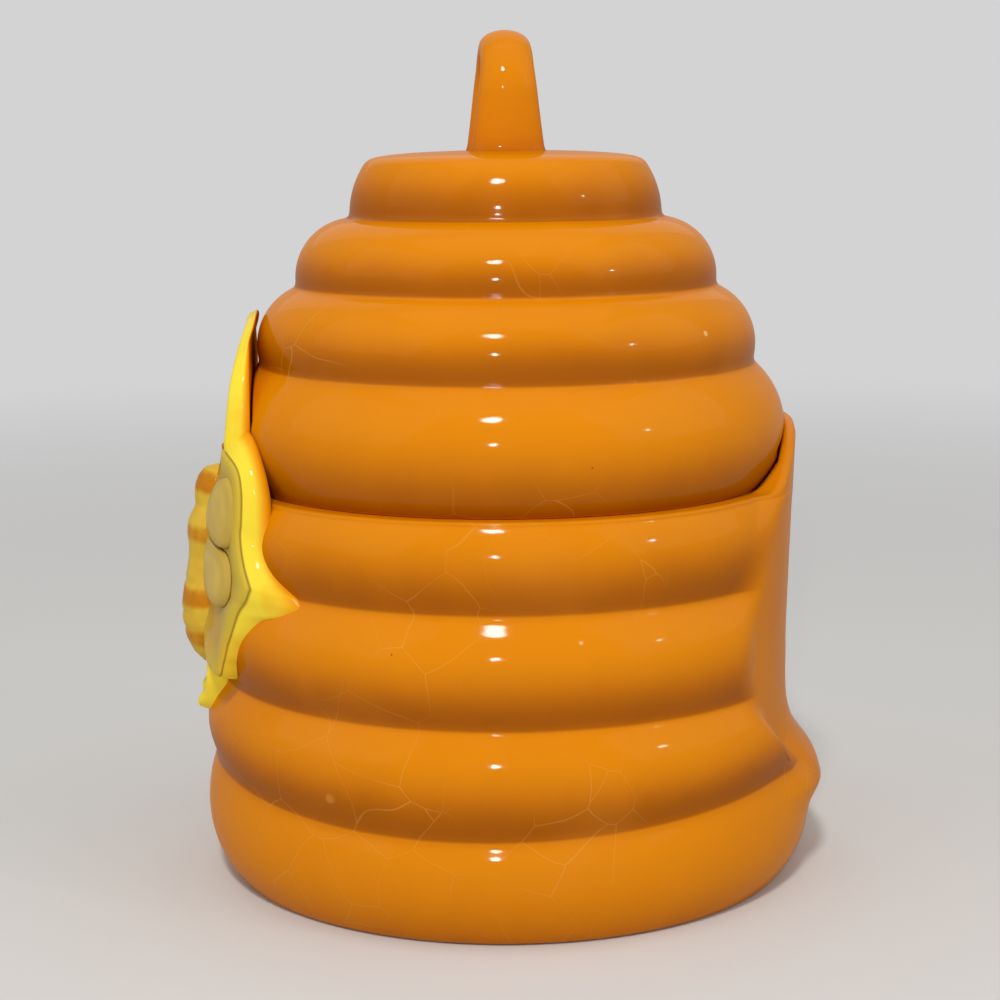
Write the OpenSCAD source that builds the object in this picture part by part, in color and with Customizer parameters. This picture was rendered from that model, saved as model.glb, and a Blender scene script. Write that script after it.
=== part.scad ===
// Honey pot in the shape of a coiled straw skep. The pot is the lower four coils, the lid is the
// upper four with a loop on its crown. A flower with a bee stands in relief on the front, a smooth
// arched panel with a sill on the back, and both rise above the rim and hold the lid between them.
// Millimetres. The origin is the centre of the foot, +Z is up and the flower faces -Y.

/* [Coils] */
// Radius of the lowest and widest coil
hive_r = 55.4; // [46:0.1:68]
// How far each pot coil stands in from that radius, from the foot up
pot_coil_in = [0, 0.2, 1.2, 3.3]; // [0:0.1:10]
// Height of each pot coil, from the foot up
pot_coil_h = [18.5, 17, 18.5, 16.5]; // [14:0.5:23]
// Height of each pot coil's widest line above its own lower groove
pot_coil_mid = [12, 8.5, 9.5, 8]; // [6:0.5:13]
// Radius of each pot coil's bulge
pot_coil_round = [17, 15, 15, 14]; // [11:0.5:20]
// How far each lid coil stands in, from the seam up
lid_coil_in = [5.4, 10.7, 17.7, 27.5]; // [4:0.1:32]
// Height of each lid coil, from the seam up
lid_coil_h = [18.5, 14.5, 14.5, 10.5]; // [9:0.5:23]
// Height of each lid coil's widest line above its own lower groove
lid_coil_mid = [9.5, 6, 3.5, 0]; // [0:0.1:12]
// Radius of each lid coil's bulge
lid_coil_round = [15, 11, 10.4, 15.5]; // [6:0.1:18]
// Width of the bevel around the crown
crown_bevel = 3; // [1:0.1:5]

/* [Walls] */
// Pot wall behind its shallowest groove
pot_wall = 5; // [3:0.1:6]
// Thickness of the floor
floor_t = 5; // [3:0.5:9]
// Radius inside, between wall and floor
floor_round = 9; // [3:0.5:14]
// Lid wall behind its grooves and crown
lid_wall = 4.2; // [3:0.1:6]

/* [Lid seat] */
// Width of the lid's foot on the rim
seat_w = 4.6; // [3:0.1:6]
// Height of the slope under the rim, inside
neck_h = 9; // [5:0.5:14]
// Thickness of the collar that keeps the lid centred
collar_t = 3; // [2:0.1:4]
// Depth of the collar below the seam
collar_drop = 5.5; // [3:0.5:9]
// Height of the collar held inside the lid
collar_grip = 3.5; // [2:0.5:6]
// Gap between collar and mouth
collar_gap = 0.4; // [0.3:0.05:1]

/* [Loop handle] */
// Height of the loop above the crown
loop_h = 21.5; // [16:0.5:28]
// Span of the loop over its legs
loop_span = 22; // [18:0.5:32]
// Thickness of the loop
loop_t = 5.8; // [4:0.1:8]
// Depth of the loop at its foot
loop_foot_d = 13.2; // [10:0.1:16]
// Depth of the loop at its top
loop_top_d = 9.2; // [7:0.1:14]

/* [Flower] */
// How far the flower's face stands out beyond the lowest coil, at its middle
flower_proud = 0.2; // [-0.5:0.1:5]
// How much that radius falls for each millimetre upward
face_taper = 0.06; // [0:0.005:0.15]
// Depth of the flower's middle below the seam
flower_drop = 14.5; // [8:0.5:20]
// How far the top petal's face stands in from the lowest coil
petal_in = 5.4; // [3:0.1:6.5]
// Thickness of the top petal
petal_t = 4.6; // [3.5:0.1:7]
// Length of the top petal above the flower's middle
top_petal_l = 45.5; // [36:0.5:52]
// Width of the top petal
top_petal_w = 41; // [30:0.5:50]
// Reach of the side petals' tips from the middle
side_petal_l = 33.5; // [28:0.5:40]
// Length of the lower petals
low_petal_l = 28.5; // [24:0.5:36]
// Width of the lower petals
low_petal_w = 24; // [16:0.5:30]

/* [Bee] */
// Height of the bee's waist above the flower's middle
bee_z = 0.5; // [-4:0.5:4]
// Radius of the head
head_r = 4.1; // [3:0.1:5]
// Radius of the thorax
thorax_r = 5.2; // [4:0.1:6]
// Radius of the abdomen
abdomen_r = 6.2; // [5:0.1:7.5]
// Length of the abdomen
abdomen_l = 21; // [16:0.5:24]
// How far the bee's axis lies below the flower's face
bee_sink = 2.3; // [0:0.1:3]
// How far a stripe stands proud
stripe_proud = 0.5; // [0.3:0.1:1]
// Width of a stripe
stripe_w = 2.8; // [1.5:0.1:4]
// Length of a forewing
forewing_l = 23; // [14:0.5:26]
// Width of a forewing
forewing_w = 13; // [8:0.5:15]
// Length of a hindwing
hindwing_l = 19; // [10:0.5:20]
// Width of a hindwing
hindwing_w = 9; // [5:0.5:11]
// How far the wings stand proud of the flower
wing_t = 1.3; // [0.8:0.1:3]
// Radius of an antenna
antenna_r = 0.9; // [0.6:0.1:1.5]
// Length of an antenna
antenna_l = 8; // [5:0.5:12]

/* [Back panel] */
// Width of the arched panel
panel_w = 72; // [50:1:80]
// Height of the arch's crown above the seam
panel_rise = 11; // [6:0.5:16]
// How far the panel's face stands in from the lowest coil, level with the foot
panel_in = 6.4; // [4:0.1:7]
// How much the panel leans outward for each millimetre upward
panel_lean = 0.035; // [0:0.005:0.08]
// How much larger the radius of the panel's face is than that of the lowest coil
panel_flatter = 2.6; // [0:0.1:10]
// Thickness of the panel
panel_t = 2.5; // [2:0.1:3.5]
// Gap between the lid and what stands up around it
lid_gap = 0.4; // [0.3:0.05:1.5]
// How far the sill reaches out beyond the lowest coil
sill_out = 2.2; // [1:0.1:6]
// Depth of the sill's lip below the panel's lower edge
sill_drop = 3.3; // [1:0.1:6]
// Radius of the sill's lip
sill_lip = 1.6; // [1:0.1:2.5]
// Width of the sill
sill_w = 46; // [30:1:60]

/* [Hidden] */
$fn = 96;

amber = "#D98008";
yellow = "#F7D21E";
brown = "#A8560C";
cream = "#E6D58A";
far = 200;
grain = 0.01;

function sum_to(list, n) = n == 0 ? 0 : list[n - 1] + sum_to(list, n - 1);

seam_z = sum_to(pot_coil_h, 4);
crown_z = seam_z + sum_to(lid_coil_h, 4);
loop_top_z = crown_z + loop_h;

// A coil is [radius of its centre circle, height of that circle, radius of its bulge].
pot_coils = [for (i = [0:3]) [hive_r - pot_coil_in[i] - pot_coil_round[i],
    sum_to(pot_coil_h, i) + pot_coil_mid[i], pot_coil_round[i]]];
lid_coils = [for (i = [0:3]) [hive_r - lid_coil_in[i] - lid_coil_round[i],
    seam_z + sum_to(lid_coil_h, i) + lid_coil_mid[i], lid_coil_round[i]]];

// Radius of a coil at a height, and the groove where two coils meet.
function coil_at(coil, z) = coil[0] + sqrt(max(0, pow(coil[2], 2) - pow(z - coil[1], 2)));
function groove(a, b) =
    let (dx = b[0] - a[0], dz = b[1] - a[1], d = norm([dx, dz]),
         along = (d * d + a[2] * a[2] - b[2] * b[2]) / (2 * d),
         out = sqrt(max(0, a[2] * a[2] - along * along)))
    [a[0] + (along * dx + out * dz) / d, a[1] + (along * dz - out * dx) / d];

pot_grooves = [for (i = [0:2]) groove(pot_coils[i], pot_coils[i + 1])];
lid_grooves = [for (i = [0:2]) groove(lid_coils[i], lid_coils[i + 1])];

cavity_r = min([for (g = pot_grooves) g[0]]) - pot_wall;
mouth_r = coil_at(lid_coils[0], seam_z) - seat_w;
collar_r = mouth_r - collar_gap;
lid_bore_top = lid_grooves[0][1] - lid_wall;
crown_flat_r = coil_at(lid_coils[3], crown_z) - crown_bevel;

face_r = hive_r + flower_proud;
flower_z = seam_z - flower_drop;
petal_face_y = hive_r - petal_in;
petal_back = petal_face_y - petal_t;

panel_r = hive_r + panel_flatter;
panel_y = hive_r - panel_in - panel_r;
panel_top = seam_z + panel_rise;
panel_bottom = pot_grooves[0][1];
sill_y = hive_r + sill_out;
sill_z = panel_bottom - sill_drop;

bee_y = face_r - bee_sink;
bee_waist_z = flower_z + bee_z;

// Section of a stack of coils, filled in to the axis.
module coil_section(coils, bottom, top) {
    intersection() {
        translate([0, bottom]) square([far, top - bottom]);
        union() {
            for (i = [0:3]) {
                low = i == 0 ? bottom : coils[i - 1][1];
                translate([0, low]) square([coils[i][0], min(top, coils[i][1] + coils[i][2]) - low]);
                translate([coils[i][0], coils[i][1]]) circle(coils[i][2]);
            }
        }
    }
}

// The pot's outside as a filled solid, with a flat recess for the back panel.
module pot_outside() {
    difference() {
        rotate_extrude() coil_section(pot_coils, 0, seam_z);
        intersection() {
            arch_block(panel_bottom, 0);
            difference() {
                translate([-far / 2, 0, 0]) cube([far, far, far]);
                panel_round(panel_t);
            }
        }
    }
}

// Round that the panel's face follows, leaning outward as it rises.
module panel_round(inset) {
    translate([0, panel_y, 0])
        cylinder(r1 = panel_r - inset, r2 = panel_r - inset + panel_lean * far, h = far);
}

// Block behind the hive with the panel's arched outline.
module arch_block(bottom, gap) {
    half = panel_w / 2 + gap;
    centre = panel_top + gap - half;
    translate([0, far, 0]) rotate([90, 0, 0]) linear_extrude(far) {
        translate([-half, bottom]) square([2 * half, centre - bottom]);
        intersection() {
            translate([0, centre]) circle(half);
            translate([-half, bottom]) square([2 * half, far]);
        }
    }
}

module pot_cavity() {
    rotate_extrude() {
        translate([cavity_r - floor_round, floor_t + floor_round]) circle(floor_round);
        polygon([[0, floor_t], [cavity_r - floor_round, floor_t], [cavity_r, floor_t + floor_round],
                 [cavity_r, seam_z - neck_h], [mouth_r, seam_z - neck_h / 3],
                 [mouth_r, seam_z + 1], [0, seam_z + 1]]);
    }
}

module pot_shell() {
    color(amber) difference() {
        pot_outside();
        pot_cavity();
    }
}

// The panel lies in the pot's recess and stands free above the rim.
module back_panel() {
    color(amber) difference() {
        intersection() {
            arch_block(panel_bottom, 0);
            panel_round(0);
        }
        pot_outside();
        intersection() {
            panel_round(panel_t);
            translate([-far / 2, -far / 2, seam_z - grain]) cube(far);
        }
    }
}

// Ledge at the panel's foot, swept about the same axis as the panel's face.
module back_sill() {
    reach = sill_y - panel_y;
    color(amber) difference() {
        intersection() {
            translate([0, panel_y, 0]) rotate_extrude() {
                polygon([[panel_r - 4, sill_z - 4], [reach - sill_lip, sill_z - sill_lip],
                         [reach - sill_lip, sill_z + sill_lip], [panel_r + 1.5, sill_z + 4.5],
                         [panel_r, sill_z + 12], [panel_r - 4, sill_z + 12]]);
                translate([reach - sill_lip, sill_z]) circle(sill_lip);
            }
            translate([-sill_w / 2, 0, 0]) cube([sill_w, far, far]);
        }
        pot_outside();
        intersection() {
            arch_block(panel_bottom, 0);
            panel_round(0);
        }
    }
}

// Point on a cubic curve, and a run of such points without the last one.
function on_curve(p, t) = pow(1 - t, 3) * p[0] + 3 * pow(1 - t, 2) * t * p[1]
    + 3 * (1 - t) * t * t * p[2] + t * t * t * p[3];
function curve(p) = [for (t = [0:0.1:0.95]) on_curve(p, t)];

// Outline of a petal or wing along +x. Its shoulders lie at two shares of its length.
function leaf(l, w, near, out) =
    let (half = w / 1.5)
    concat(curve([[0, 0], [l * near, half], [l * out, half], [l, 0]]),
           curve([[l, 0], [l * out, -half], [l * near, -half], [0, 0]]));

// Outlines seen from the front, about the flower's middle.
module top_petal_outline() {
    rotate(90) polygon(leaf(top_petal_l, top_petal_w, 0.25, 1));
}

// The right side petal has a round shoulder above and a drooping spike for a tip.
module side_petal_outline() {
    reach = side_petal_l;
    polygon(concat(
        curve([[0, 20], [reach * 0.55, 30], [reach * 0.78, 20], [reach * 0.82, 9]]),
        curve([[reach * 0.82, 9], [reach * 0.84, 3], [reach * 0.86, 0], [reach, -1]]),
        curve([[reach, -1], [reach * 0.86, -8], [reach * 0.75, -13], [reach * 0.55, -20]]),
        [[0, -20]]));
}

module low_petal_outline() {
    rotate(-68) polygon(leaf(low_petal_l, low_petal_w, 0.3, 0.9));
}

// Solid under the flower's face: a slightly tapered round that leans back above the rim.
function face_at(z) = face_r - face_taper * (z - flower_z);
lean_start = seam_z - 5;
lean_end = seam_z + 5;
petal_tip_z = flower_z + top_petal_l;
module flower_front() {
    intersection() {
        rotate_extrude() polygon([[0, 0], [face_at(0), 0], [face_at(far), far], [0, far]]);
        rotate([90, 0, 90]) translate([0, 0, -far / 2]) linear_extrude(far)
            polygon([[0, 0], [-far, 0], [-far, lean_start - 20], [-face_at(lean_start), lean_start],
                     [-petal_face_y - 0.3, lean_end], [-petal_face_y, petal_tip_z - 15],
                     [-petal_face_y + 1.8, petal_tip_z - 6], [-petal_face_y + 4.2, petal_tip_z - 1.5],
                     [-petal_face_y + 8.5, petal_tip_z + 1], [0, petal_tip_z + 1]]);
    }
}

// One petal, laid on the coils and standing free above the rim.
module petal() {
    difference() {
        intersection() {
            flower_front();
            translate([0, 0, flower_z]) rotate([90, 0, 0]) linear_extrude(far) children();
        }
        pot_outside();
    }
}

// What the lid sweeps as it lifts, with the gap around its lowest coil.
module lid_sweep() {
    rotate_extrude() polygon([[0, seam_z - grain],
        for (t = [0:0.25:1]) let (z = seam_z - grain + t * lid_coil_mid[0])
            [coil_at(lid_coils[0], z) + lid_gap, z],
        [hive_r - lid_coil_in[0] + lid_gap, far], [0, far]]);
}

// Above the rim the top petal is a plate with a flat back.
module flower_top_petal() {
    color(yellow) difference() {
        petal() top_petal_outline();
        translate([-far / 2, -petal_back, seam_z - grain]) cube(far);
    }
}

module flower_side_petal(side) {
    color(yellow) mirror([side, 0, 0]) difference() {
        petal() difference() {
            side_petal_outline();
            top_petal_outline();
        }
        lid_sweep();
    }
}

// The lower petals lie wholly on the pot.
module flower_low_petal(side) {
    color(yellow) mirror([side, 0, 0]) difference() {
        intersection() {
            rotate_extrude() polygon([[0, 0], [face_at(0), 0], [face_at(far), far], [0, far]]);
            translate([0, -cavity_r / 2, flower_z]) rotate([90, 0, 0]) linear_extrude(far) difference() {
                low_petal_outline();
                side_petal_outline();
                translate([-far, -far / 2]) square(far);
            }
        }
        rotate_extrude() coil_section(pot_coils, 0, seam_z);
    }
}

// The bee stands head up, its back along the tapered face.
module bee_frame() {
    translate([0, -bee_y, bee_waist_z]) rotate([-atan(face_taper), 0, 0]) children();
}

// Whatever of the bee lies inside the flower's face is cut away.
module on_flower() {
    difference() {
        bee_frame() children();
        flower_front();
    }
}

thorax_z = thorax_r * 0.8;
head_z = thorax_z + thorax_r * 0.75 + head_r * 0.75;

module bee_head() {
    color(brown) on_flower() difference() {
        translate([0, 0, head_z]) sphere(head_r);
        translate([0, 0, thorax_z]) sphere(thorax_r);
    }
}

module bee_thorax() {
    color(yellow) on_flower() difference() {
        translate([0, 0, thorax_z]) sphere(thorax_r);
        abdomen_solid(0);
    }
}

// Egg-shaped abdomen, tapering downward from its widest place.
module abdomen_solid(proud) {
    rotate_extrude() polygon([for (a = [0:12:180])
        [(abdomen_r * (0.88 + 0.25 * cos(a)) + proud) * sin(a),
         -abdomen_l / 2 + (abdomen_l / 2 + proud) * cos(a)]]);
}

stripe_pitch = (abdomen_l - abdomen_r * 0.6) / 3;
module stripe_slices() {
    for (i = [0:2])
        translate([-far / 2, -far / 2, -abdomen_r * 0.55 - i * stripe_pitch - stripe_w / 2])
            cube([far, far, stripe_w]);
}

module bee_abdomen() {
    color(yellow) on_flower() abdomen_solid(0);
}

module bee_stripes() {
    color(brown) on_flower() difference() {
        intersection() {
            abdomen_solid(stripe_proud);
            stripe_slices();
        }
        abdomen_solid(0);
        translate([0, 0, thorax_z]) sphere(thorax_r);
    }
}

forewing_turn = 30;
hindwing_turn = -14;

// A wing is a leaf-shaped pad on the flower's face, from the thorax outward.
module wing(side, l, w, turn, root_z) {
    mirror([side, 0, 0]) difference() {
        intersection() {
            translate([0, 0, bee_waist_z + root_z]) rotate([90, 0, 0]) rotate([0, 0, turn])
                translate([thorax_r * 0.5, 0, 0]) linear_extrude(far) polygon(leaf(l, w, 0.4, 1));
            rotate_extrude() polygon([[0, 0], [face_at(0) + wing_t, 0], [face_at(far) + wing_t, far],
                                      [0, far]]);
        }
        flower_front();
        bee_frame() {
            translate([0, 0, head_z]) sphere(head_r);
            translate([0, 0, thorax_z]) sphere(thorax_r);
            abdomen_solid(stripe_proud);
        }
    }
}

module bee_forewing(side) {
    color(cream) wing(side, forewing_l, forewing_w, forewing_turn, thorax_z);
}

module bee_hindwing(side) {
    color(cream) difference() {
        wing(side, hindwing_l, hindwing_w, hindwing_turn, thorax_z - 1);
        wing(side, forewing_l, forewing_w, forewing_turn, thorax_z);
    }
}

module bee_antennae() {
    color(brown) for (side = [0, 1]) mirror([side, 0, 0]) on_flower() difference() {
        translate([1, 0, head_z]) rotate([-11, 22, 0]) cylinder(r = antenna_r, h = head_r + antenna_l);
        translate([0, 0, head_z]) sphere(head_r);
    }
}

// The lid has a slot in front for the top petal and is cut back behind for the panel.
slot_w = top_petal_w + 2 * lid_gap;
module lid_outside() {
    difference() {
        intersection() {
            rotate_extrude() coil_section(lid_coils, seam_z, crown_z);
            rotate_extrude() polygon([[0, seam_z - 1], [hive_r, seam_z - 1],
                [hive_r, crown_z - (hive_r - crown_flat_r) / 3], [crown_flat_r, crown_z], [0, crown_z]]);
        }
        translate([-slot_w / 2, -far - petal_back + lid_gap, 0]) cube([slot_w, far, far]);
        difference() {
            arch_block(0, lid_gap);
            panel_round(panel_t + lid_gap);
        }
    }
}

module lid_cavity() {
    rotate_extrude() polygon([[0, seam_z - 1], [collar_r, seam_z - 1], [collar_r, lid_bore_top],
        for (g = lid_grooves) [min(collar_r, g[0] - lid_wall), g[1]],
        [crown_flat_r, crown_z - lid_wall], [0, crown_z - lid_wall]]);
}

module lid_shell() {
    color(amber) difference() {
        lid_outside();
        lid_cavity();
    }
}

module lid_collar() {
    color(amber) translate([0, 0, seam_z - collar_drop]) difference() {
        cylinder(r = collar_r, h = collar_drop + collar_grip);
        translate([0, 0, -1]) cylinder(r = collar_r - collar_t, h = far);
    }
}

// Loop over the crown, wide from side to side and tapering upward. A narrow flat runs along its top.
module lid_loop_handle() {
    arch_r = loop_span / 2;
    arch_z = loop_top_z - arch_r;
    round_z = loop_top_z - loop_top_d / 2 + 0.3;
    color(amber) intersection() {
        rotate([90, 0, 0]) translate([0, 0, -far / 2]) linear_extrude(far) difference() {
            union() {
                translate([0, arch_z]) circle(arch_r);
                translate([-arch_r, crown_z]) square([loop_span, arch_z - crown_z]);
            }
            translate([0, arch_z]) circle(arch_r - loop_t);
            translate([-arch_r + loop_t, crown_z - 1]) square([loop_span - 2 * loop_t, arch_z - crown_z + 1]);
            translate([-far / 2, crown_z - far]) square([far, far]);
        }
        rotate([90, 0, 90]) translate([0, 0, -far / 2]) linear_extrude(far) {
            polygon([[-loop_foot_d / 2, crown_z], [loop_foot_d / 2, crown_z],
                     [loop_top_d / 2 - grain, round_z], [-loop_top_d / 2 + grain, round_z]]);
            translate([0, round_z]) circle(loop_top_d / 2);
        }
    }
}

pot_shell();
back_panel();
back_sill();
flower_top_petal();
flower_side_petal(1);  // flower_side_petal_left
flower_side_petal(0);  // flower_side_petal_right
flower_low_petal(1);  // flower_low_petal_left
flower_low_petal(0);  // flower_low_petal_right
bee_head();
bee_thorax();
bee_abdomen();
bee_stripes();
bee_forewing(1);  // bee_forewing_left
bee_forewing(0);  // bee_forewing_right
bee_hindwing(1);  // bee_hindwing_left
bee_hindwing(0);  // bee_hindwing_right
bee_antennae();
lid_shell();
lid_collar();
lid_loop_handle();
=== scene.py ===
import math

import bpy
import numpy as np
from mathutils import Matrix, Vector
from mathutils.geometry import delaunay_2d_cdt


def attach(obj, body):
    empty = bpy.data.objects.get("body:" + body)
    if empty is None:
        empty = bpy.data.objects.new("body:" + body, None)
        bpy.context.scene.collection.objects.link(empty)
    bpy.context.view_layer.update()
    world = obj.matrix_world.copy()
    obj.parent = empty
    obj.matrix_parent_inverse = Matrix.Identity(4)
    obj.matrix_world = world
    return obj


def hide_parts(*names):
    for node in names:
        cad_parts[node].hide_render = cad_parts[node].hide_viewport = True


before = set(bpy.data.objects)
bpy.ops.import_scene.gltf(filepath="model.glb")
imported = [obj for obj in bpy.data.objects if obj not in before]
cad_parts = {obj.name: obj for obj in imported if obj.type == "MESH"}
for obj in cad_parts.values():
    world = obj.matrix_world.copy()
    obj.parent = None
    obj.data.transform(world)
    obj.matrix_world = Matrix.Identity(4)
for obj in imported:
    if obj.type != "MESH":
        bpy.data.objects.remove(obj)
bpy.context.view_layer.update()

# Everything is worked out in millimetres about the centre of the foot and turned to metres on
# the way into Blender. The sizes are those the frame was made to.
MM = 0.001
POT_COILS = ((38.4, 12.0, 17.0), (40.2, 27.0, 15.0), (39.2, 45.0, 15.0), (38.1, 62.0, 14.0))
LID_COILS = ((35.0, 80.0, 15.0), (33.7, 95.0, 11.0), (27.3, 107.0, 10.4), (12.4, 118.0, 15.5))
SEAM = 70.5
CROWN = 128.5
TOP = 150.0
COLLAR_R = 41.6
MOUTH_R = 42.0
HOLLOW_R = 45.28
FLOOR_Z = 5.0
ROOF_Z = 124.3
FOOT_R = 55.3
LOW_GROOVE_Z = 20.3
BARE_R = 46.3  # inside this the rim and the lid's foot are wiped clean of glaze, so that they don't stick
PANEL_HALF = 36.0
PANEL_ARCH_Z = 45.5
PANEL_R = 58.0
PANEL_Y = -9.0
PANEL_LEAN = 0.035
PANEL_T = 2.5
PANEL_FLAT_R = 52.5  # where the back is unrolled, to draw the panel's outline on it
PANEL_TOP_R = 51.3  # the same for the part of it that stands above the rim
LID_GAP = 0.4
SILL_REACH = 57.6
SILL_Z = 17.6
FACE_R = 55.6
FACE_TAPER = 0.06
FLOWER_Z = 56.0
PETAL_BACK = 45.4
PRESSED_R = 50.2  # a little under the pot's skin, where the petals' backs are pressed on
NOTCH_HALF = 21.0
WAIST_Z = 56.5
BEE_Y = FACE_R - 2.3
TURNS = 480  # points in one ring of the pot or the lid


# ------------------------------------------------------------------ the maker's tools

def ramp(low, high, value):
    """0 below low, 1 above high and a smooth rise between."""
    t = np.clip((np.asarray(value, float) - low) / (high - low), 0, 1)
    return t * t * (3 - 2 * t)


def soft_max(a, b, k):
    """The larger of the two, rounded over k millimetres where they meet."""
    h = np.clip(0.5 + 0.5 * (a - b) / k, 0, 1)
    return b + (a - b) * h + k * h * (1 - h)


def along(path):
    """Length from the start of a path to each of its points."""
    steps = np.hypot(*np.diff(path, axis=0).T)
    return np.concatenate([[0], np.cumsum(steps)])


def walked(path, step=None, count=None):
    """The path again, with points an even step apart."""
    path = np.asarray(path, float)
    length = along(path)
    keep = np.concatenate([[True], np.diff(length) > 1e-9])
    path, length = path[keep], length[keep]
    count = count or max(2, int(round(length[-1] / step)) + 1)
    at = np.linspace(0, length[-1], count)
    return np.stack([np.interp(at, length, path[:, i]) for i in range(path.shape[1])], 1)


def sponged(path, width, step=0.1):
    """The path with its corners sponged round over about width millimetres."""
    path = walked(path, step)
    reach = int(4 * width / step)
    weights = np.exp(-0.5 * (np.arange(-reach, reach + 1) * step / width) ** 2)
    weights /= weights.sum()
    first, last = path[1] - path[0], path[-1] - path[-2]
    before = path[0] - np.arange(reach, 0, -1)[:, None] * first
    after = path[-1] + np.arange(1, reach + 1)[:, None] * last
    long = np.concatenate([before, path, after])
    return np.stack([np.convolve(long[:, i], weights, "valid") for i in range(2)], 1)


def curve(p0, p1, p2, p3, count=14):
    """Points on a cubic curve, without the last one."""
    t = np.linspace(0, 1, count, endpoint=False)[:, None]
    p0, p1, p2, p3 = (np.array(p, float) for p in (p0, p1, p2, p3))
    return (1 - t) ** 3 * p0 + 3 * (1 - t) ** 2 * t * p1 + 3 * (1 - t) * t * t * p2 + t ** 3 * p3


def fired(name, points, faces, body, replaces=(), marks=None):
    """A finished piece of ware from points in millimetres, riding on its body."""
    mesh = bpy.data.meshes.new(name)
    mesh.from_pydata((np.asarray(points, float) * MM).tolist(), [], [list(map(int, f)) for f in faces])
    mesh.update()
    mesh.shade_smooth()
    for mark, values in (marks or {}).items():
        mesh.attributes.new(mark, "FLOAT", "POINT").data.foreach_set("value", np.asarray(values, np.float32))
    piece = bpy.data.objects.new(name, mesh)
    bpy.context.scene.collection.objects.link(piece)
    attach(piece, body)
    if replaces:
        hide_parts(*replaces)
    return piece


def thrown(rows, columns):
    """Faces between rings of points, ring after ring, each closed on itself."""
    j, i = np.meshgrid(np.arange(rows - 1), np.arange(columns), indexing="ij")
    k = (i + 1) % columns
    quads = np.stack([j * columns + i, j * columns + k, (j + 1) * columns + k, (j + 1) * columns + i], -1)
    return quads.reshape(-1, 4).tolist()


def capped(rings, first, last):
    """Points and faces of a closed skin over rings of points, with one point to close each end."""
    rows, columns = len(rings), len(rings[0])
    points = np.concatenate(list(rings) + [np.array([first, last], float)])
    faces = thrown(rows, columns)
    below, above, top = rows * columns, rows * columns + 1, (rows - 1) * columns
    for i in range(columns):
        k = (i + 1) % columns
        faces += [(below, k, i), (above, top + i, top + k)]
    return points, faces


def inside_out(faces):
    return [tuple(reversed(f)) for f in faces]


def all_round():
    """The angles of the points in one ring of the pot or the lid."""
    return np.linspace(0, 2 * math.pi, TURNS, endpoint=False)


def glazed_round(name, rings, first, last, body, replaces):
    """A round piece in amber glaze. A ring is its radius, its height, how dark the glaze is laid from pooling
    and painted shade, and how bare the clay is, each one number or one for every angle. An end has all of
    them but the radius."""
    angle = all_round()
    rows = np.array([[np.broadcast_to(value, TURNS) for value in ring] for ring in rings])
    r, z, pooled_and_shaded, bare = rows.swapaxes(0, 1)
    skin = np.stack([r * np.cos(angle), r * np.sin(angle), z], -1)
    points, faces = capped(skin, (0, 0, first[0]), (0, 0, last[0]))
    marks = {"pooled_and_shaded": np.append(pooled_and_shaded, [first[1], last[1]]), "bare": np.append(bare, [first[2], last[2]])}
    return fired(name, points, faces, body, replaces, marks)


# ------------------------------------------------------------------ the coiled pot and lid

def groove(a, b):
    """Where the outline of one coil meets that of the next above it."""
    dx, dz = b[0] - a[0], b[1] - a[1]
    d = math.hypot(dx, dz)
    on = (d * d + a[2] ** 2 - b[2] ** 2) / (2 * d)
    out = math.sqrt(max(0, a[2] ** 2 - on * on))
    return a[0] + (on * dx + out * dz) / d, a[1] + (on * dz - out * dx) / d


def coil_outline(coils, foot_z, top_z):
    """Outline of the stacked coils from one height on the lowest to another on the highest."""
    start = math.asin((foot_z - coils[0][1]) / coils[0][2])
    finish = math.asin((top_z - coils[-1][1]) / coils[-1][2])
    meets = [groove(a, b) for a, b in zip(coils, coils[1:])]
    runs = []
    for n, (r, z, bulge) in enumerate(coils):
        low = start if n == 0 else math.atan2(meets[n - 1][1] - z, meets[n - 1][0] - r)
        high = finish if n == len(coils) - 1 else math.atan2(meets[n][1] - z, meets[n][0] - r)
        a = np.linspace(low, high, 200)
        runs.append(np.stack([r + bulge * np.cos(a), z + bulge * np.sin(a)], 1))
    return np.concatenate(runs)


def groove_sway(angle, z):
    """The lowest groove isn't level: it dips on the sides and climbs towards the front and back."""
    sway = 0.4 - 1.6 * np.cos(2 * (angle + 0.21))
    return sway * np.exp(-((z - LOW_GROOVE_Z) / 7.5) ** 2) * ramp(1.0, 8.0, z)


def hand_wobble(angle, z, low, high):
    """Small inward unevenness of a cast and sponged surface, none at the foot or the seam."""
    held = ramp(0, 5, z - low) * ramp(0, 4, high - z)
    waves = (np.sin(2 * angle + 0.7) + 0.7 * np.sin(5 * angle + z / 17) + 0.5 * np.sin(9 * angle - z / 11 + 2)
             + 0.6 * np.sin(3 * angle + z / 6))
    return -0.09 * held * (2.8 + waves) / 2.8


def panel_radius(angle, z, inset=0.0):
    """Distance from the axis to the back panel's face, or to a surface inset behind it."""
    turn = angle - math.pi / 2
    big = PANEL_R - inset + PANEL_LEAN * z
    return PANEL_Y * np.cos(turn) + np.sqrt(big ** 2 - (PANEL_Y * np.sin(turn)) ** 2)


def inside_arch(x, z, grow=0.0):
    """How far a point lies inside the panel's outline: an arch above, rounded in below."""
    half = np.interp(z, [17, 20, 24, 29, 35, 41], [18, 20.5, 23.5, 28.5, 34, PANEL_HALF]) + grow
    return half - np.where(z <= PANEL_ARCH_Z, np.abs(x), np.hypot(x, np.maximum(z - PANEL_ARCH_Z, 0)))


# Heights, and how far the sill stands out from the panel's face at each.
SILL_FLARE = sponged([[14, 8.4], [17.6, 7.6], [19.4, 7.0], [20.8, 6.2], [22.6, 4.7], [25.6, 2.5], [28.5, 1.4],
                      [31.4, 0.6], [36, 0.0], [44, -0.4]], 0.8)


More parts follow.
